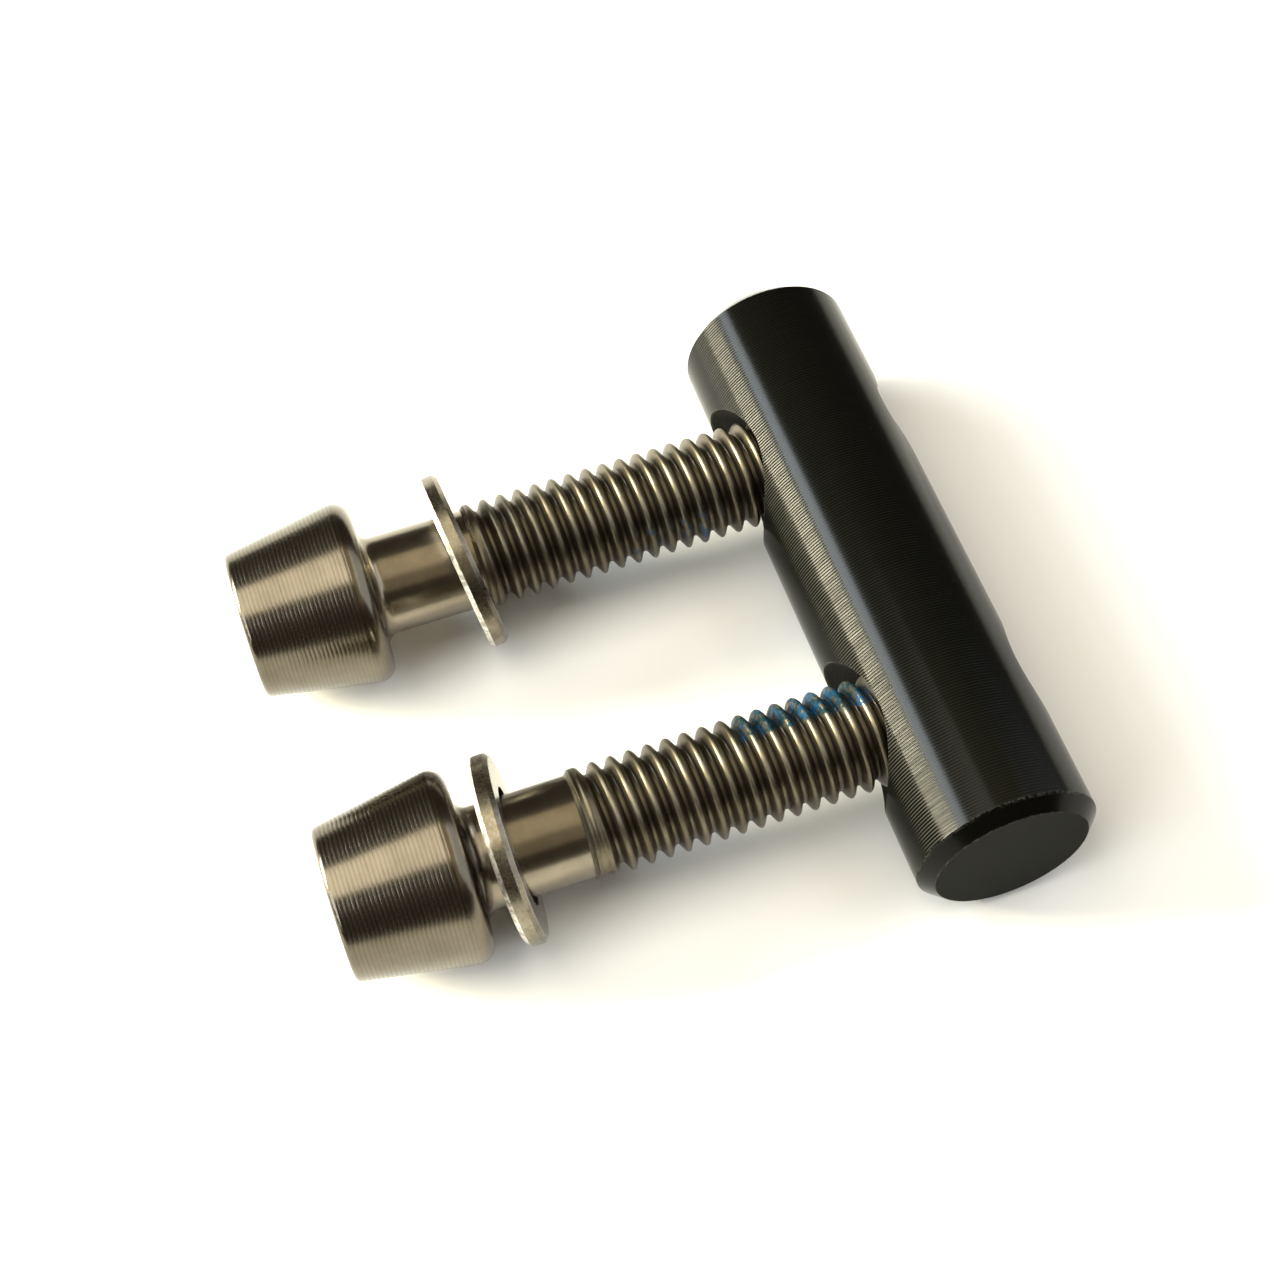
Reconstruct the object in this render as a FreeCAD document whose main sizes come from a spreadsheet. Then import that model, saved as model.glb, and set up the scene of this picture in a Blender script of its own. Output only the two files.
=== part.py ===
"""Twin-bolt clamp set: a cross barrel tapped for two cone-headed bolts, each with a loose washer.

Frame, in millimetres: the origin is the middle of the cross barrel. The barrel's axis lies along Y,
both bolts lie along X with their heads towards -X, and +Z is up. "Front" is the -Y bolt.
"""
import FreeCAD, Part
import math
import os
import Sketcher

# Driving dimensions: millimetres and degrees.
DIMENSIONS = {
    # cross barrel
    "barrel_dia": 9.8,
    "barrel_len": 36.4,
    "barrel_bevel": 0.75,
    "bolt_spacing": 18.0,
    "sink_dia": 8.8,  # 90 degree countersink facing the heads, across the barrel's crest
    "exit_sink_dia": 7.4,  # the same on the far side
    # M6 x 1 thread: sharp_dia is where the 60 degree flanks would meet in a point
    "pitch": 1.0,
    "sharp_dia": 6.37,
    "thread_dia": 5.97,
    "thread_root_dia": 4.9,
    "crest_radius": 0.2,
    "root_round": 0.045,
    "flank_gap": 0.05,  # axial play of each flank of the bolt in the tapped hole
    "tap_dia": 5.06,
    "tap_root_dia": 6.12,
    # bolt, measured from the small end of its head
    "bolt_len": 30.0,  # from under the head to the tip
    "shank_dia": 5.5,
    "shank_len": 5.85,
    "tip_bevel": 0.65,
    "head_tip_dia": 8.1,
    "head_rim_dia": 10.6,
    "head_height": 7.2,
    "rim_round": 0.95,
    "head_tip_round": 0.3,
    "neck_round": 0.7,
    "socket_flats": 5.0,
    "socket_depth": 4.0,
    "socket_drill_depth": 5.1,
    "socket_mouth_bevel": 0.25,
    # washer
    "washer_dia": 10.2,
    "washer_hole": 6.4,
    "washer_thick": 1.1,
    "washer_bevel": 0.25,
    # where each loose piece stands along X, and how far it leans
    "rear_head": -33.55,
    "front_head": -33.1,
    "rear_groove": -19.96,  # where the thread groove first passes under the bolt
    "front_groove": -19.31,
    "rear_washer": -21.07,
    "front_washer": -23.85,
    "rear_washer_yaw": 3.8,
    "front_washer_yaw": -2.9,
    "rear_washer_lean": 7.2,
    "front_washer_lean": 7.1,
    "rear_run_in": 0.0,  # how far round before that place the groove is started
    "front_run_in": 90.0,
    # whole turns between a bolt's first groove and the start of the tapped thread
    "turns_outside": 13.0,
    "run_past": 1.0,  # how far a cut runs beyond the surface that it must clear
    "tap_overlap": 0.1,  # how far the tapped groove's outline reaches into the open bore
    "groove_overlap": 0.15,  # how far the bolt's groove outline stands clear of the crests
}

LENGTH_TOLERANCE = 1e-4  # mm, between a computed place and an edge's own
LEAST_CUT = 1e-3  # mm3

# Facets of a rounded thread crest meet here: degrees up from the axial direction, down to where the
# arc runs into the flank.
CREST_ANGLES = (81, 58, 30)

# Which side of the barrel's middle each bolt is on, by its name.
SIDES = {"front": -1, "rear": 1}

doc = FreeCAD.newDocument("clamp_set")
dims = doc.addObject("Spreadsheet::Sheet", "dims")
for row, (alias, value) in enumerate(DIMENSIONS.items(), start=1):
    dims.set(f"A{row}", alias)
    dims.set(f"B{row}", str(value))
    dims.setAlias(f"B{row}", alias)
doc.recompute()


def size(expression):
    """The present value of an expression of the sheet's cells."""
    value = dims.evalExpression(expression)
    return float(getattr(value, "Value", value))


def bind(item, **expressions):
    for name, expression in expressions.items():
        item.setExpression(name, expression)


def new_body(name):
    body = doc.addObject("PartDesign::Body", name)
    body.Label = name
    return body


def new_sketch(body, name, role):
    sketch = body.newObject("Sketcher::SketchObject", name)
    plane = next(f for f in body.Origin.OriginFeatures if f.Role == role)
    sketch.AttachmentSupport = (plane, [""])
    sketch.MapMode = "FlatFace"
    return sketch


def pin_point(sketch, line, end, across, up):
    """Ties one end of a line to the sketch's origin by two dimensions, each an expression."""
    for kind, expression in (("DistanceX", across), ("DistanceY", up)):
        index = sketch.addConstraint(Sketcher.Constraint(kind, -1, 1, line, end, size(expression)))
        sketch.setExpression(f"Constraints[{index}]", expression)


def draw_polygon(sketch, corners):
    """A closed outline whose corners are (across, up) pairs of expressions."""
    first = sketch.GeometryCount
    count = len(corners)
    points = [FreeCAD.Vector(size(across), size(up), 0) for across, up in corners]
    for i in range(count):
        sketch.addGeometry(Part.LineSegment(points[i], points[(i + 1) % count]), False)
    for i in range(count):
        following = first + (i + 1) % count
        sketch.addConstraint(Sketcher.Constraint("Coincident", first + i, 2, following, 1))
        pin_point(sketch, first + i, 1, *corners[i])


def draw_axis(sketch, up):
    """A construction line along the sketch's X axis, at a height given by an expression: its Axis0."""
    height = size(up)
    ends = FreeCAD.Vector(0, height, 0), FreeCAD.Vector(1, height, 0)
    sketch.addGeometry(Part.LineSegment(*ends), True)
    pin_point(sketch, 0, 1, "0", up)
    pin_point(sketch, 0, 2, "1", up)


def draw_circle(sketch, across, up, diameter):
    centre = FreeCAD.Vector(size(across), size(up), 0)
    circle = Part.Circle(centre, FreeCAD.Vector(0, 0, 1), size(diameter) / 2)
    ring = sketch.addGeometry(circle, False)
    pin_point(sketch, ring, 3, across, up)
    index = sketch.addConstraint(Sketcher.Constraint("Diameter", ring, size(diameter)))
    sketch.setExpression(f"Constraints[{index}]", diameter)


def feature(body, kind, name, profile, **settings):
    item = body.newObject(f"PartDesign::{kind}", name)
    item.Profile = profile
    for key, value in settings.items():
        setattr(item, key, value)
    profile.Visibility = False
    return item


def ring_edges(shape, diameter, axis, place):
    """Names of the circular edges of one diameter whose centres lie at one place along an axis."""
    found = []
    for number, edge in enumerate(shape.Edges, start=1):
        curve = edge.Curve
        if not isinstance(curve, Part.Circle):
            continue
        same_size = math.isclose(curve.Radius, diameter / 2, abs_tol=LENGTH_TOLERANCE)
        same_place = math.isclose(curve.Center.dot(axis), place, abs_tol=LENGTH_TOLERANCE)
        if same_size and same_place:
            found.append(f"Edge{number}")
    return found


def dress(body, kind, name, edges, length):
    """A fillet or a chamfer on named edges of the body's last feature, its size an expression."""
    item = body.newObject(f"PartDesign::{kind}", name)
    item.Base = (item.BaseFeature, edges)
    bind(item, **{"Radius" if kind == "Fillet" else "Size": length})
    doc.recompute()
    return item


def must_shrink(body, before, what):
    """A cut that misses the solid gives no error, so the volume tells."""
    doc.recompute()
    if not body.Shape.Volume < before - LEAST_CUT:
        raise ValueError(f"{what} removed nothing from {body.Label}")


Y_AXIS = FreeCAD.Vector(0, 1, 0)
Z_AXIS = FreeCAD.Vector(0, 0, 1)


def ridge_half_width(radius):
    """Of a thread's ridge along its axis, at a radius: the flanks stand at 30 degrees."""
    return f"(dims.sharp_dia / 2 - {radius}) * tan(30)"


def groove_half_width(radius):
    """Of the bolt's groove: what the ridges leave of a pitch, and half of the flanks' play."""
    return f"(dims.pitch / 2 - {ridge_half_width(radius)} + dims.flank_gap / 2)"


def tap_half_width(radius):
    """Of the tapped hole's groove: a ridge of the bolt and half of the flanks' play."""
    return f"({ridge_half_width(radius)} + dims.flank_gap / 2)"


def crest_point(surface, angle):
    """On the arc that rounds a ridge's crest, as the groove's (radius, half width) there."""
    radius = f"({surface} - dims.crest_radius * (1 - sin({angle})))"
    return radius, f"(dims.pitch / 2 - dims.crest_radius * cos({angle}) + dims.flank_gap / 2)"


def both_sides(half, middle):
    """Outline corners from (radius, half width) pairs, mirrored about a middle: (radius, place)."""
    low = [(radius, f"{middle} - ({width})") for radius, width in half]
    high = [(radius, f"{middle} + ({width})") for radius, width in reversed(half)]
    return low + high


def make_barrel():
    body = new_body("cross_barrel")
    rod_profile = new_sketch(body, "barrel_circle", "XZ_Plane")
    draw_circle(rod_profile, "0", "0", "dims.barrel_dia")
    rod = feature(body, "Pad", "barrel_rod", rod_profile, Midplane=True)
    bind(rod, Length="dims.barrel_len")
    doc.recompute()

    end = size("dims.barrel_len / 2")
    rims = ring_edges(rod.Shape, size("dims.barrel_dia"), Y_AXIS, end)
    rims += ring_edges(rod.Shape, size("dims.barrel_dia"), Y_AXIS, -end)
    dress(body, "Chamfer", "barrel_bevels", rims, "dims.barrel_bevel")

    for side, sign in SIDES.items():
        make_tapped_hole(body, side, f"{sign} * dims.bolt_spacing / 2")
    return body


def make_tapped_hole(body, side, offset):
    """Drilled through, countersunk from both sides and tapped, on a line along X at y = offset."""
    before = body.Shape.Volume
    drill = new_sketch(body, f"{side}_drill", "YZ_Plane")
    draw_circle(drill, offset, "0", "dims.tap_dia")
    feature(body, "Pocket", f"{side}_bore", drill, Type="ThroughAll", Midplane=True)
    must_shrink(body, before, "the bore")

    for face, sign, width in (("head", -1, "dims.sink_dia"), ("exit", 1, "dims.exit_sink_dia")):
        before = body.Shape.Volume
        cone = new_sketch(body, f"{side}_{face}_cone", "XY_Plane")
        draw_axis(cone, offset)
        crest = f"{sign} * dims.barrel_dia / 2"
        outside = f"{crest} + {sign} * dims.run_past"
        point = f"{crest} - {sign} * {width} / 2"
        wide = f"{offset} + {width} / 2 + dims.run_past"
        draw_polygon(cone, [(outside, offset), (outside, wide), (point, offset)])
        feature(body, "Groove", f"{side}_{face}_sink", cone, ReferenceAxis=(cone, ["Axis0"]), Angle=360)
        must_shrink(body, before, "the countersink")

    before = body.Shape.Volume
    tooth = new_sketch(body, f"{side}_tap_tooth", "XY_Plane")
    draw_axis(tooth, offset)
    # It takes the bolt's ridge, half a pitch on from the bolt's groove, and its outline stands a
    # quarter turn on from the groove's: three quarters of a pitch in all.
    start = f"(dims.{side}_groove + (dims.turns_outside + 3 / 4) * dims.pitch)"
    inner, outer = "(dims.tap_dia / 2 - dims.tap_overlap)", "dims.tap_root_dia / 2"
    half = [(inner, tap_half_width(inner)), (outer, tap_half_width(outer))]
    corners = [(along, f"{offset} + {radius}") for radius, along in both_sides(half, start)]
    draw_polygon(tooth, corners)
    thread = feature(
        body, "SubtractiveHelix", f"{side}_tapped_thread", tooth, ReferenceAxis=(tooth, ["Axis0"])
    )
    thread.Mode = "pitch-height-angle"
    bind(thread, Pitch="dims.pitch", Height=f"dims.barrel_dia / 2 + dims.run_past - {start}")
    must_shrink(body, before, "the tap")


def make_bolt(side, offset):
    """Made standing on the small end of its head, its tip at the top of its own Z axis."""
    body = new_body(f"{side}_bolt")
    outline = new_sketch(body, f"{side}_bolt_outline", "XZ_Plane")
    neck = "dims.head_height"
    thread_start = f"{neck} + dims.shank_len"
    tip = f"{neck} + dims.bolt_len"
    step = "(dims.thread_dia - dims.shank_dia) / 2"
    corners = [
        ("0", "0"),
        ("dims.head_tip_dia / 2", "0"),
        ("dims.head_rim_dia / 2", neck),
        ("dims.shank_dia / 2", neck),
        ("dims.shank_dia / 2", thread_start),
        ("dims.thread_dia / 2", f"{thread_start} + {step}"),
        ("dims.thread_dia / 2", f"{tip} - dims.tip_bevel"),
        ("dims.thread_dia / 2 - dims.tip_bevel", tip),
        ("0", tip),
    ]
    draw_polygon(outline, corners)
    blank = feature(
        body, "Revolution", f"{side}_bolt_blank", outline, ReferenceAxis=(outline, ["V_Axis"]), Angle=360
    )
    doc.recompute()

    under = size(neck)
    rounds = (
        ("rim", "dims.head_rim_dia", under, "dims.rim_round"),
        ("neck", "dims.shank_dia", under, "dims.neck_round"),
        ("end", "dims.head_tip_dia", 0.0, "dims.head_tip_round"),
    )
    for place, diameter, height, radius in rounds:
        edges = ring_edges(body.Shape, size(diameter), Z_AXIS, height)
        dress(body, "Fillet", f"{side}_bolt_{place}_round", edges, radius)

    make_socket(body, side)
    make_bolt_thread(body, side)

    bind(
        body,
        Placement=f"placement(vector(dims.{side}_head; {offset}; 0); rotation(0; 90; 0))",
    )
    return body


def make_socket(body, side):
    """A hexagon socket with a drilled bottom and a bevelled mouth, sunk into the head's small end."""
    before = body.Shape.Volume
    hexagon = new_sketch(body, f"{side}_socket_hexagon", "XY_Plane")
    radius = "dims.socket_flats / 2 / cos(30)"
    turns = [60 * corner for corner in range(6)]
    draw_polygon(hexagon, [(f"{radius} * cos({a})", f"{radius} * sin({a})") for a in turns])
    socket = feature(body, "Pocket", f"{side}_socket", hexagon, Reversed=True)
    bind(socket, Length="dims.socket_depth")
    must_shrink(body, before, "the socket")

    before = body.Shape.Volume
    drill = new_sketch(body, f"{side}_socket_drill", "XZ_Plane")
    bore, floor = "dims.socket_flats / 2", "dims.socket_depth"
    draw_polygon(drill, [("0", "0"), (bore, "0"), (bore, floor), ("0", "dims.socket_drill_depth")])
    feature(body, "Groove", f"{side}_socket_bottom", drill, ReferenceAxis=(drill, ["V_Axis"]), Angle=360)
    must_shrink(body, before, "the socket's drilled bottom")

    before = body.Shape.Volume
    mouth = new_sketch(body, f"{side}_socket_mouth", "XZ_Plane")
    wide = f"{radius} + dims.socket_mouth_bevel"
    draw_polygon(mouth, [("0", "0"), (wide, "0"), ("0", wide)])
    feature(body, "Groove", f"{side}_socket_mouth_bevel", mouth, ReferenceAxis=(mouth, ["V_Axis"]), Angle=360)
    must_shrink(body, before, "the socket's mouth bevel")


def make_bolt_thread(body, side):
    before = body.Shape.Volume
    tooth = new_sketch(body, f"{side}_bolt_tooth", "XZ_Plane")
    turned_back = f"placement(vector(0; 0; 0); rotation(vector(0; 1; 0); -dims.{side}_run_in))"
    bind(tooth, AttachmentOffset=turned_back)
    start = f"(dims.{side}_groove - dims.{side}_head - dims.pitch * dims.{side}_run_in / 360)"
    surface = "dims.thread_dia / 2"
    root = "dims.thread_root_dia / 2"
    hollow = f"({root} + dims.root_round)"
    crest = [crest_point(surface, angle) for angle in CREST_ANGLES]
    half = [
        (f"{surface} + dims.groove_overlap", crest[0][1]),
        *crest,
        (hollow, groove_half_width(hollow)),
        (root, f"{groove_half_width(hollow)} / 2"),
    ]
    draw_polygon(tooth, both_sides(half, start))
    thread = feature(
        body, "SubtractiveHelix", f"{side}_bolt_thread", tooth, ReferenceAxis=(tooth, ["V_Axis"])
    )
    thread.Mode = "pitch-height-angle"
    end = "dims.head_height + dims.bolt_len + dims.run_past"
    bind(thread, Pitch="dims.pitch", Height=f"{end} - {start}")
    must_shrink(body, before, "the thread groove")


def make_washer(side, offset):
    body = new_body(f"{side}_washer")
    rings = new_sketch(body, f"{side}_washer_rings", "XY_Plane")
    draw_circle(rings, "0", "0", "dims.washer_dia")
    draw_circle(rings, "0", "0", "dims.washer_hole")
    disc = feature(body, "Pad", f"{side}_washer_disc", rings, Midplane=True)
    bind(disc, Length="dims.washer_thick")
    doc.recompute()

    face = size("dims.washer_thick / 2")
    rims = ring_edges(disc.Shape, size("dims.washer_dia"), Z_AXIS, face)
    rims += ring_edges(disc.Shape, size("dims.washer_dia"), Z_AXIS, -face)
    dress(body, "Chamfer", f"{side}_washer_bevels", rims, "dims.washer_bevel")

    turn = f"rotation(dims.{side}_washer_yaw; 90 - dims.{side}_washer_lean; 0)"
    bind(body, Placement=f"placement(vector(dims.{side}_washer; {offset}; 0); {turn})")
    return body


pieces = [make_barrel()]
for side, sign in SIDES.items():
    offset = f"{sign} * dims.bolt_spacing / 2"
    pieces.append(make_bolt(side, offset))
    pieces.append(make_washer(side, offset))
doc.recompute()

for item in doc.Objects:
    if {"Invalid", "Error"} & set(item.State):
        raise ValueError(f"{item.Name} failed: {item.State}")
for piece in pieces:
    shape = piece.Shape
    if shape.isNull() or not shape.isValid() or len(shape.Solids) != 1:
        raise ValueError(f"{piece.Label} is not one valid solid")

os.makedirs("parts", exist_ok=True)
for piece in pieces:
    piece.Shape.exportStep(f"parts/{piece.Label}.step")
    box = piece.Shape.BoundBox
    print(f"{piece.Label}: {piece.Shape.Volume:.2f} mm3, x {box.XMin:.2f} to {box.XMax:.2f}")
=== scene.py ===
"""Looks of the twin-bolt clamp set: a black cross barrel, two turned bolts and their washers.

Metres, in the CAD frame: the barrel lies along Y and both bolts along X, heads towards -X.
Inside the materials, places are in millimetres.
"""
import bpy
import math
from mathutils import Matrix, Vector


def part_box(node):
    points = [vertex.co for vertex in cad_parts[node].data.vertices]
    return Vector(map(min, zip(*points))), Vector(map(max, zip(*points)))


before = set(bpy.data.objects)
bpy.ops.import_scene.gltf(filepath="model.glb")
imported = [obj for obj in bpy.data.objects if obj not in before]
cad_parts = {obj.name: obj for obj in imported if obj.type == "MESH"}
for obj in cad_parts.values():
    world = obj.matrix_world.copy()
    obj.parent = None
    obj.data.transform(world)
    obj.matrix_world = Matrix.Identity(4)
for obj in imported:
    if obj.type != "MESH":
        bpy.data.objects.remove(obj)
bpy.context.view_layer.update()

MM = 0.001
MICROMETRE = 1e-6
TURN = 2 * math.pi

# ---------------------------------------------------------------- places, from the CAD nodes

BARREL_LOW, BARREL_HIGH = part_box("cross_barrel")
BARREL_END = BARREL_HIGH.y / MM
BARREL_RADIUS = BARREL_HIGH.x / MM

# ---------------------------------------------------------------- sizes that no box gives, mm

HOLE_PLACE = 9.0  # along the barrel, each side of its middle
BEVEL = 0.75  # of the barrel's ends
END_RADIUS = BARREL_RADIUS - BEVEL
# How far a countersink's radius at its rim is less than the barrel's own at that place.
SINK_GAP, EXIT_SINK_GAP = 0.5, 1.2
# Along a bolt, from the small end of its head.
CONE_START, CONE_END, HEAD_LEN, SHANK_END = 0.35, 6.35, 7.2, 13.05
SOCKET_END = 5.5
FIRST_TURNS = (SHANK_END + 0.2, SHANK_END + 1.1)
FILM_TURNS, TRACE_TURNS = (22.1, 29.4), (21.5, 27.0)
WASHER_BEVEL_START, WASHER_FACE_DEPTH = 4.84, 0.52  # from its axis, and from its middle plane
# Yaw and lean of each washer's axis, degrees.
WASHER_TILT = {"front_washer": (-2.9, 7.1), "rear_washer": (3.8, 7.2)}


# ---------------------------------------------------------------- node helpers

# The Mix node's colour sockets, which share their names with its other sockets.
MIX_COLOUR_A, MIX_COLOUR_B, MIX_COLOUR_RESULT = 6, 7, 2


class Tree:
    """A material's node tree, with sockets as values and lengths in millimetres."""

    def __init__(self, name):
        self.material = bpy.data.materials.new(name)
        self.material.use_nodes = True
        self.tree = self.material.node_tree
        self.shader = self.tree.nodes["Principled BSDF"]
        place = self.tree.nodes.new("ShaderNodeTexCoord").outputs["Object"]
        self.place = self.vector("SCALE", place, scale=1 / MM)
        parts = self.node("ShaderNodeSeparateXYZ", {0: self.place})
        self.x, self.y, self.z = parts.outputs

    def node(self, kind, inputs=None, **settings):
        made = self.tree.nodes.new(kind)
        for key, value in settings.items():
            setattr(made, key, value)
        for key, value in (inputs or {}).items():
            self.feed(made.inputs[key], value)
        return made

    def feed(self, socket, value):
        if isinstance(value, bpy.types.NodeSocket):
            self.tree.links.new(value, socket)
        elif value is not None:
            socket.default_value = value

    def set(self, **sockets):
        for key, value in sockets.items():
            self.feed(self.shader.inputs[key.replace("_", " ")], value)

    def vector(self, operation, a, b=None, scale=None):
        made = self.node("ShaderNodeVectorMath", {0: a, 1: b}, operation=operation)
        if scale is not None:
            self.feed(made.inputs["Scale"], scale)
        return made.outputs["Value" if operation in ("LENGTH", "DOT_PRODUCT") else "Vector"]

    def combine(self, x, y, z):
        return self.node("ShaderNodeCombineXYZ", {0: x, 1: y, 2: z}).outputs[0]

    def math(self, operation, a, b=None, c=None):
        return self.node("ShaderNodeMath", {0: a, 1: b, 2: c}, operation=operation).outputs[0]

    def times(self, *factors):
        product = factors[0]
        for factor in factors[1:]:
            product = self.math("MULTIPLY", product, factor)
        return product

    def span(self, value, low, high, first=0.0, last=1.0):
        """Smooth step from first at low to last at high."""
        inputs = {0: value, 1: low, 2: high, 3: first, 4: last}
        return self.node("ShaderNodeMapRange", inputs, interpolation_type="SMOOTHSTEP").outputs[0]

    def fade(self, value, low, high):
        """Smooth step from 1 at low to 0 at high."""
        return self.span(value, low, high, 1.0, 0.0)

    def window(self, value, low, high, soft):
        """1 between low and high, falling to 0 over soft at each side."""
        rise = self.span(value, low - soft / 2, low + soft / 2)
        return self.times(rise, self.fade(value, high - soft / 2, high + soft / 2))

    def noise(self, scale, detail, rough):
        """Cloudy noise; a scale of three numbers stretches it."""
        place = self.place
        if isinstance(scale, tuple):
            place, scale = self.vector("MULTIPLY", place, scale), 1.0
        inputs = {"Vector": place, "Scale": scale, "Detail": detail, "Roughness": rough}
        return self.node("ShaderNodeTexNoise", inputs).outputs["Fac"]

    def mix(self, factor, a, b):
        """Between two colours."""
        made = self.node("ShaderNodeMix", {0: factor}, data_type="RGBA")
        self.feed(made.inputs[MIX_COLOUR_A], a)
        self.feed(made.inputs[MIX_COLOUR_B], b)
        return made.outputs[MIX_COLOUR_RESULT]

    def blend(self, factor, a, b):
        """Between two numbers."""
        return self.node("ShaderNodeMix", {0: factor, 2: a, 3: b}, data_type="FLOAT").outputs[0]

    def lines(self, along, pitch, wander):
        """Turning marks: -1 to 1 along a coordinate, their phase pushed about by wander turns."""
        phase = self.math("MULTIPLY_ADD", along, TURN / pitch, self.math("MULTIPLY", wander, TURN))
        return self.math("SINE", phase)

    def bump(self, height, depth, normal=None):
        """Depth in micrometres for a height of 1."""
        if isinstance(depth, bpy.types.NodeSocket):
            depth, height = 1.0, self.times(height, depth)
        inputs = {"Strength": 1.0, "Distance": depth * MICROMETRE, "Height": height, "Normal": normal}
        return self.node("ShaderNodeBump", inputs).outputs[0]


def rgb(red, green, blue):
    return (red, green, blue, 1.0)


def dress(node, material):
    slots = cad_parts[node].data.materials
    for index in range(len(slots)):
        slots[index] = material
    if not slots:
        slots.append(material)


# ---------------------------------------------------------------- materials


def black_anodised():
    """Satin black barrel, finely turned, its mark ridges painted lighter as highlight streaks in one band;
    smooth grey ends; rubbed along its edges.
    """
    t = Tree("barrel_black")
    from_axis = t.vector("LENGTH", t.combine(t.x, 0.0, t.z))
    from_end = t.math("SUBTRACT", BARREL_END, t.math("ABSOLUTE", t.y))
    hole_side = t.math("SUBTRACT", t.math("ABSOLUTE", t.y), HOLE_PLACE)
    from_hole = t.vector("LENGTH", t.combine(0.0, hole_side, t.z))
    on_end = t.fade(from_end, 0.01, 0.03)
    inside = t.fade(from_axis, BARREL_RADIUS - 0.05, BARREL_RADIUS - 0.025)
    in_sink = t.times(inside, t.span(from_end, BEVEL + 0.1, BEVEL + 0.3))

    streaks = t.noise((0.25, 9.0, 0.25), 3.0, 0.6)
    cloud = t.noise(0.35, 4.0, 0.55)
    scuffs = t.noise(5.0, 6.0, 0.7)
    specks = t.span(t.noise(2.6, 5.0, 0.75), 0.70, 0.74)

    # Turning marks: round the barrel's own axis, and round the hole's axis in a countersink. They are
    # deepest in one band along the side of the heads, where the long highlight lies, and there their ridges
    # are also painted a lighter grey: painted highlight streaks.
    marks = t.lines(t.blend(in_sink, t.y, from_hole), 0.17, t.times(streaks, 0.12))
    deep_marks_highlight_band = t.times(t.window(t.x, -4.45, -2.95, 0.4), t.math("GREATER_THAN", t.z, 0.0))
    depth = t.times(t.span(streaks, 0.3, 0.75, 0.75, 1.2), t.blend(deep_marks_highlight_band, 0.12, 1.0))
    depth = t.blend(in_sink, t.times(depth, t.span(from_end, BEVEL, BEVEL + 0.1)), 0.1)
    height = t.times(marks, depth)

    # Wear along the bevels' edges and the countersinks' rims.
    end_rim = t.span(from_axis, END_RADIUS - 0.07, END_RADIUS - 0.01)
    at_end_rim = t.times(t.fade(from_end, 0.02, 0.07), end_rim)
    at_bevel = t.math("MAXIMUM", t.window(from_end, BEVEL - 0.08, BEVEL + 0.05, 0.1), at_end_rim)
    crest = t.math("ABSOLUTE", t.x)
    sink_gap = t.blend(t.math("GREATER_THAN", t.x, 0.0), SINK_GAP, EXIT_SINK_GAP)
    from_sink = t.math("SUBTRACT", from_hole, t.math("SUBTRACT", crest, sink_gap))
    at_sink = t.times(
        t.window(from_sink, -0.03, 0.06, 0.06),
        t.span(crest, 2.0, 2.4),
        t.span(from_axis, BARREL_RADIUS - 0.16, BARREL_RADIUS - 0.04),
    )
    edges = t.times(t.math("MAXIMUM", at_bevel, at_sink), t.span(scuffs, 0.45, 0.62))
    wear = t.math("MAXIMUM", t.times(edges, 0.18), t.times(specks, 0.12))

    black = t.mix(cloud, rgb(0.0012, 0.0013, 0.0009), rgb(0.0025, 0.0025, 0.0019))
    ridge_highlight_grey = rgb(0.030, 0.029, 0.024)
    end_grey = rgb(0.0110, 0.0112, 0.0092)
    worn_grey = rgb(0.16, 0.155, 0.14)
    # Painted highlight: a lighter grey on the ridges of the marks, mostly in the band where the highlight
    # lies.
    black = t.mix(t.times(t.span(marks, -0.2, 0.9), depth, 0.9), black, ridge_highlight_grey)
    turned_rough, sink_rough, end_rough = t.span(height, -0.6, 0.8, 0.10, 0.30), 0.75, 0.8
    t.set(
        Base_Color=t.mix(wear, t.mix(on_end, black, end_grey), worn_grey),
        Roughness=t.blend(on_end, t.blend(in_sink, turned_rough, sink_rough), end_rough),
        IOR=1.2,
        Normal=t.bump(height, 5.0),
    )
    return t.material


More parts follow.
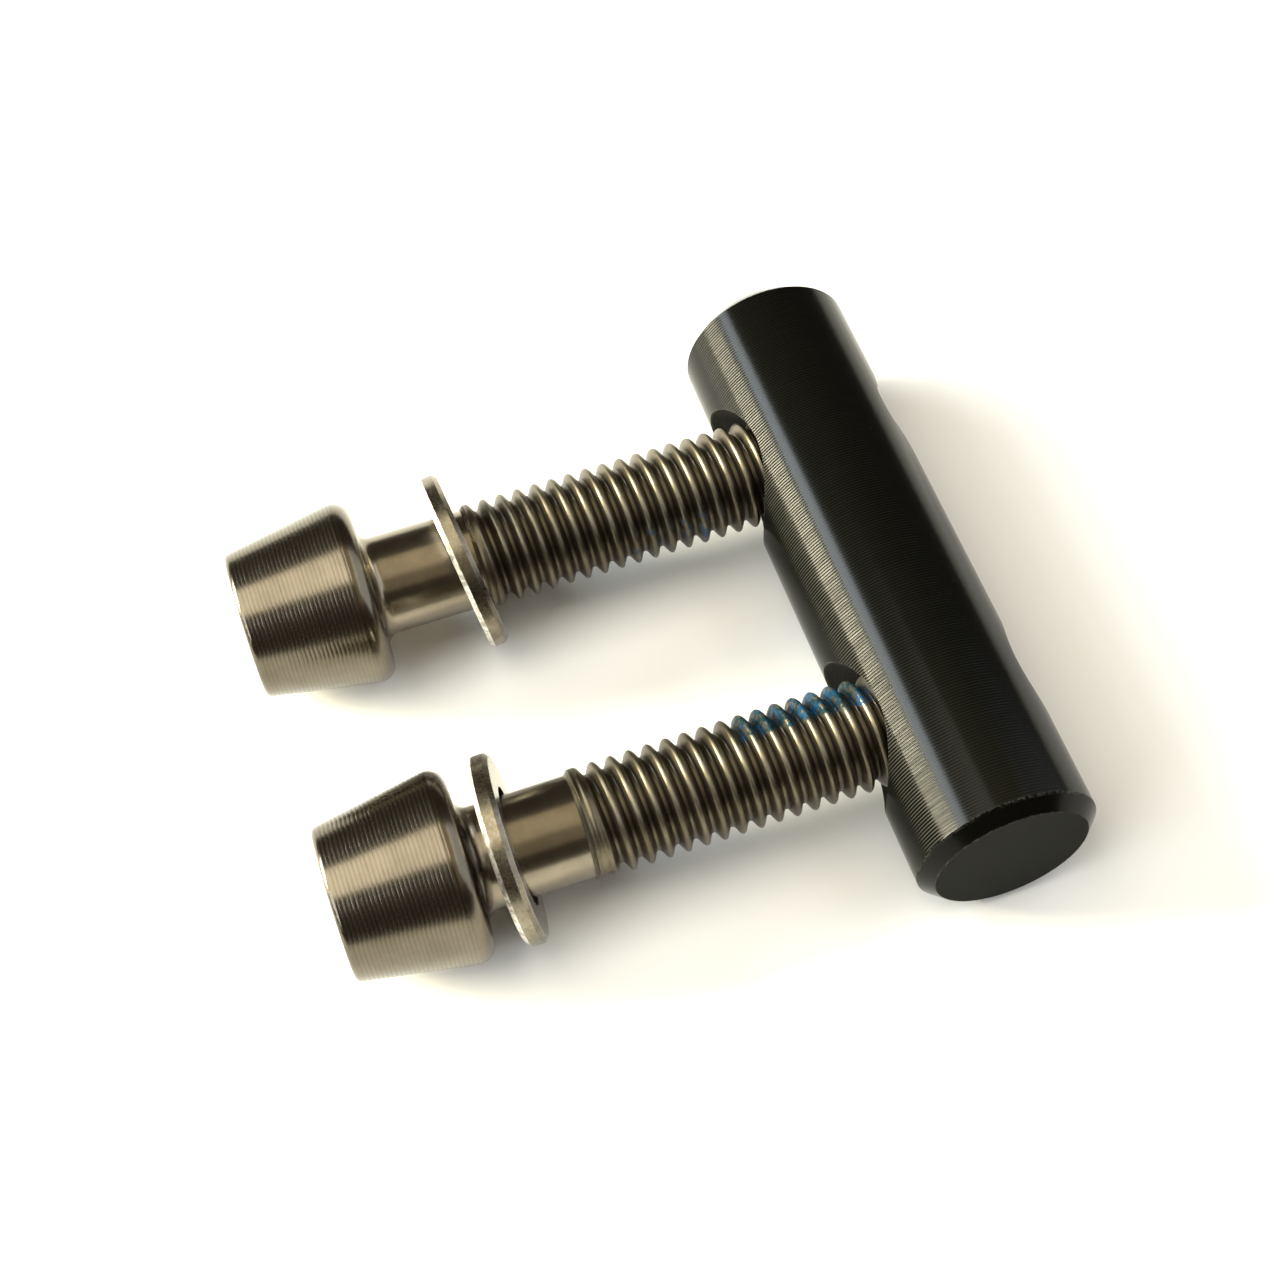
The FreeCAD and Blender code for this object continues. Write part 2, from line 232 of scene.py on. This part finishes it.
def turned_titanium(name, side, film):
    """Warm grey turned metal: ringed cone head, smooth rim, plain shank, olive thread, dried film."""
    t = Tree(f"{name}_titanium")
    along = t.math("SUBTRACT", t.x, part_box(name)[0].x / MM)
    across = t.math("SUBTRACT", t.y, side * HOLE_PLACE)
    from_axis = t.vector("LENGTH", t.combine(0.0, across, t.z))
    on_face = t.fade(along, 0.02, 0.06)
    ringed = t.math("MAXIMUM", t.window(along, CONE_START, CONE_END, 0.3), on_face)
    on_head = t.fade(along, HEAD_LEN - 0.4, HEAD_LEN + 0.2)
    on_shank = t.window(along, HEAD_LEN + 0.2, SHANK_END, 0.3)
    on_thread = t.span(along, SHANK_END - 0.1, SHANK_END + 0.2)
    root_shade = t.times(on_thread, t.fade(from_axis, 2.5, 2.85))
    in_socket = t.times(
        t.span(along, 0.05, 0.3),
        t.fade(from_axis, 2.7, 3.2),
        t.fade(along, SOCKET_END - 0.5, SOCKET_END + 0.5),
    )

    streaks = t.noise((8.0, 0.35, 0.35), 3.0, 0.65)
    cloud = t.noise(0.6, 4.0, 0.6)
    grain = t.noise(9.0, 4.0, 0.65)
    fine = t.noise((24.0, 0.5, 0.5), 2.0, 0.6)

    marks = t.lines(t.blend(on_face, along, from_axis), 0.225, t.times(streaks, 0.5))
    height = t.times(marks, ringed, t.span(streaks, 0.25, 0.7, 0.5, 1.4))
    normal = t.bump(height, 2.3)
    normal = t.bump(t.times(fine, t.blend(ringed, 0.5, 1.0)), 1.2, normal)
    normal = t.bump(grain, t.blend(on_thread, 1.0, 0.5), normal)

    # The thread's low first turns, as helical lines on the crests.
    turns_round = t.math("DIVIDE", t.math("ARCTAN2", t.z, across), TURN)
    first_turns = t.lines(along, 0.42, t.math("MULTIPLY", turns_round, -1.0))
    on_crest = t.times(t.window(along, *FIRST_TURNS, 0.15), t.span(from_axis, 2.85, 2.93))
    normal = t.bump(t.times(first_turns, on_crest), 26.0, normal)

    shank = t.mix(t.span(cloud, 0.3, 0.7), rgb(0.205, 0.178, 0.138), rgb(0.250, 0.218, 0.170))
    olive = t.mix(t.span(cloud, 0.35, 0.65), rgb(0.108, 0.092, 0.064), rgb(0.160, 0.138, 0.100))
    head = t.mix(t.span(cloud, 0.3, 0.7), rgb(0.128, 0.110, 0.084), rgb(0.156, 0.135, 0.104))
    rings = t.times(t.span(marks, -0.6, 0.9), ringed, t.span(streaks, 0.3, 0.7, 0.08, 0.30))
    head = t.mix(rings, head, rgb(0.060, 0.052, 0.040))
    colour = t.mix(on_thread, t.mix(on_head, shank, head), olive)
    # Painted shade: the colour is darker towards the thread roots, as ambient occlusion would make it.
    colour = t.mix(t.times(root_shade, 0.5), colour, rgb(0.075, 0.062, 0.045))
    colour = t.mix(in_socket, colour, rgb(0.10, 0.092, 0.080))
    thread_rough, shank_rough, film_rough = 0.36, 0.23, 0.5
    rough = t.blend(on_thread, t.span(height, -1.0, 1.0, 0.19, 0.27), thread_rough)
    rough = t.blend(on_shank, rough, shank_rough)

    amount, tint = film(t, along, across)
    t.set(
        Base_Color=t.mix(amount, colour, tint),
        Metallic=t.math("SUBTRACT", 1.0, t.times(amount, 0.9)),
        Roughness=t.blend(amount, rough, film_rough),
        IOR=1.2,
        Normal=normal,
    )
    return t.material


def blue_film(t, along, across):
    """Dried thread-locking film on the upper side of the turns next to the barrel."""
    turns = t.window(along, *FILM_TURNS, 0.9)
    upper = t.span(t.math("ADD", t.times(across, 0.85), t.times(t.z, 0.53)), 0.9, 2.4)
    patches = t.noise((0.7, 0.9, 0.9), 5.0, 0.62)
    chips = t.span(t.noise(3.0, 5.0, 0.7), 0.40, 0.50)
    amount = t.times(turns, t.span(t.math("ADD", upper, patches), 0.95, 1.2), chips)
    tint = t.mix(t.span(patches, 0.45, 0.6), rgb(0.002, 0.016, 0.021), rgb(0.002, 0.045, 0.110))
    return amount, tint


def trace_film(t, along, across):
    """Only traces of the same film, dark, near the low side of the last turns outside the barrel."""
    turns = t.window(along, *TRACE_TURNS, 1.0)
    low = t.span(across, -2.2, -2.8)
    patches = t.span(t.noise(1.1, 5.0, 0.65), 0.5, 0.6)
    return t.times(turns, low, patches, 0.8), rgb(0.02, 0.07, 0.13)


def stamped_titanium(name):
    """Washer: dull tan rim with faint blotches, plain faces, and a patchy painted highlight on its bevel on
    the head's side.
    """
    t = Tree(f"{name}_titanium")
    low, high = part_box(name)
    middle = tuple((low + high) / 2 / MM)
    yaw, lean = (math.radians(angle) for angle in WASHER_TILT[name])
    facing = (math.cos(yaw) * math.cos(lean), math.sin(yaw) * math.cos(lean), math.sin(lean))
    offset = t.vector("SUBTRACT", t.place, middle)
    depth = t.vector("DOT_PRODUCT", offset, facing)
    in_plane = t.vector("SUBTRACT", offset, t.vector("SCALE", facing, scale=depth))
    from_axis = t.vector("LENGTH", in_plane)
    on_bevel = t.times(
        t.span(from_axis, WASHER_BEVEL_START - 0.04, WASHER_BEVEL_START + 0.04),
        t.fade(depth, -0.33, -0.27),
    )
    on_face = t.times(
        t.fade(from_axis, WASHER_BEVEL_START, WASHER_BEVEL_START + 0.06),
        t.span(t.math("ABSOLUTE", depth), WASHER_FACE_DEPTH - 0.02, WASHER_FACE_DEPTH + 0.02),
    )

    cloud = t.noise(0.9, 5.0, 0.65)
    grain = t.noise(7.0, 5.0, 0.7)
    tan = t.mix(t.span(cloud, 0.35, 0.65), rgb(0.16, 0.138, 0.098), rgb(0.25, 0.222, 0.172))
    tan = t.mix(t.times(t.span(grain, 0.55, 0.7), 0.35), tan, rgb(0.10, 0.09, 0.07))
    # Painted highlight: the bevel on the head's side gets a near-white metal colour in patches, standing in
    # for the bright reflection it catches.
    face_grey, painted_bevel_highlight, bevel_highlight_rough = rgb(0.40, 0.385, 0.36), rgb(0.92, 0.89, 0.82), 0.36
    bevel_highlight = t.times(on_bevel, t.span(t.noise(2.2, 3.0, 0.6), 0.38, 0.56, 0.35, 1.0))
    t.set(
        Base_Color=t.mix(bevel_highlight, t.mix(on_face, tan, face_grey), painted_bevel_highlight),
        Metallic=1.0,
        Roughness=t.blend(bevel_highlight, t.span(grain, 0.3, 0.7, 0.24, 0.34), bevel_highlight_rough),
        Normal=t.bump(cloud, 4.0, t.bump(grain, 1.2)),
    )
    return t.material


dress("cross_barrel", black_anodised())
dress("front_bolt", turned_titanium("front_bolt", -1, blue_film))
dress("rear_bolt", turned_titanium("rear_bolt", 1, trace_film))
dress("front_washer", stamped_titanium("front_washer"))
dress("rear_washer", stamped_titanium("rear_washer"))


# ---------------------------------------------------------------- floor, light and camera


FLOOR_SIZE = 6.0
FLOOR_GAP = 0.01 * MM  # under the barrel
HEAD_RIM_X = -27.0 * MM

# Corners (x, y) of each level panel as slopes seen from the object, then its radiance and colour.
CEILING_HEIGHT = 0.6
CEILING_PANELS = {
    "ceiling_over_heads": ((-0.95, -0.33), (-0.16, 0.50), 4.2, (1.0, 0.94, 0.78)),
    "ceiling_over_threads": ((-0.16, -0.42), (0.75, 0.48), 0.92, (1.0, 0.86, 0.56)),
    "ceiling_edge": ((-0.16, -1.3), (0.75, -0.42), 0.40, (1.0, 0.86, 0.58)),
}

# Distance and direction of each panel that faces the object, then its width, length, radiance and
# colour.
FACING_PANELS = {
    "window_cool": (0.9, (-0.69, 0.50, 0.53), 0.20, 0.38, 22.0, (0.88, 0.96, 1.0)),
    "window_warm_near": (0.9, (-0.89, 0.33, 0.30), 0.31, 0.20, 105.0, (1.0, 0.93, 0.66)),
    "window_warm_far": (0.9, (-0.82, 0.50, 0.29), 0.30, 0.15, 17.0, (1.0, 0.97, 0.82)),
    "side_left": (0.8, (-0.80, -0.25, 0.55), 0.5, 0.5, 4.4, (0.90, 0.95, 1.0)),
    "side_right": (0.8, (0.82, -0.12, 0.56), 0.95, 0.95, 1.5, (0.90, 0.95, 1.0)),
}
ROOM_COLOUR = rgb(0.090, 0.074, 0.053)

CAMERA_AZIMUTH, CAMERA_ELEVATION, CAMERA_ROLL = -14.02, 57.78, -5.39  # degrees
CAMERA_TARGET = Vector((-13.49, 0.63, 0.0)) * MM
CAMERA_DISTANCE = 115.11 * MM
CAMERA_SENSOR, CAMERA_LENS = 36.0, 59.79  # mm


def make_floor():
    """A pale sheet that touches the barrel and both head rims, so it leans by half a degree."""
    lean = math.atan2(BARREL_LOW.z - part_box("rear_bolt")[0].z, -HEAD_RIM_X)
    bpy.ops.mesh.primitive_plane_add(size=FLOOR_SIZE, location=(0, 0, BARREL_LOW.z - FLOOR_GAP))
    floor = bpy.context.object
    floor.name = "pale_floor"
    floor.rotation_euler = (0, -lean, 0)
    sheet = bpy.data.materials.new("pale_floor")
    sheet.use_nodes = True
    shader = sheet.node_tree.nodes["Principled BSDF"]
    shader.inputs["Base Color"].default_value = rgb(0.86, 0.86, 0.85)
    shader.inputs["Roughness"].default_value = 0.7
    shader.inputs["Specular IOR Level"].default_value = 0.2
    floor.data.materials.append(sheet)


def soft_light(name, place, width, length, radiance, colour, facing):
    """An area light, its length as near the barrel's direction as its facing allows."""
    data = bpy.data.lights.new(name, "AREA")
    data.shape = "RECTANGLE"
    data.size, data.size_y = width, length
    data.energy = radiance * math.pi * width * length
    data.color = colour
    lamp = bpy.data.objects.new(name, data)
    bpy.context.scene.collection.objects.link(lamp)
    back = Vector(facing).normalized()
    side = Vector((0, 1, 0)).cross(back).normalized()
    frame_up = back.cross(side)
    turn = Matrix((side, frame_up, back)).transposed()
    lamp.matrix_world = Matrix.Translation(place) @ turn.to_4x4()
    lamp.visible_camera = False


def make_lights():
    world = bpy.data.worlds.new("dim_room")
    bpy.context.scene.world = world
    world.use_nodes = True
    world.node_tree.nodes["Background"].inputs["Color"].default_value = ROOM_COLOUR

    for name, (low, high, radiance, colour) in CEILING_PANELS.items():
        centre = [CEILING_HEIGHT * (a + b) / 2 for a, b in zip(low, high)]
        width, length = (CEILING_HEIGHT * (b - a) for a, b in zip(low, high))
        soft_light(name, (*centre, CEILING_HEIGHT), width, length, radiance, colour, (0, 0, 1))
    for name, (distance, direction, width, length, radiance, colour) in FACING_PANELS.items():
        place = tuple(distance * part for part in direction)
        soft_light(name, place, width, length, radiance, colour, place)


def make_camera():
    azimuth, elevation = math.radians(CAMERA_AZIMUTH), math.radians(CAMERA_ELEVATION)
    level = math.cos(elevation)
    back = Vector((math.sin(azimuth) * level, -math.cos(azimuth) * level, math.sin(elevation)))
    right = Vector((math.cos(azimuth), math.sin(azimuth), 0))
    upright = Matrix((right, back.cross(right), back)).transposed()
    rolled = upright @ Matrix.Rotation(math.radians(CAMERA_ROLL), 3, "Z")
    data = bpy.data.cameras.new("camera")
    data.sensor_width, data.lens = CAMERA_SENSOR, CAMERA_LENS
    data.clip_start, data.clip_end = 0.005, 20.0
    camera = bpy.data.objects.new("camera", data)
    bpy.context.scene.collection.objects.link(camera)
    camera.matrix_world = Matrix.Translation(CAMERA_TARGET + back * CAMERA_DISTANCE) @ rolled.to_4x4()
    bpy.context.scene.camera = camera


make_floor()
make_lights()
make_camera()
bpy.context.scene.view_settings.view_transform = "Standard"
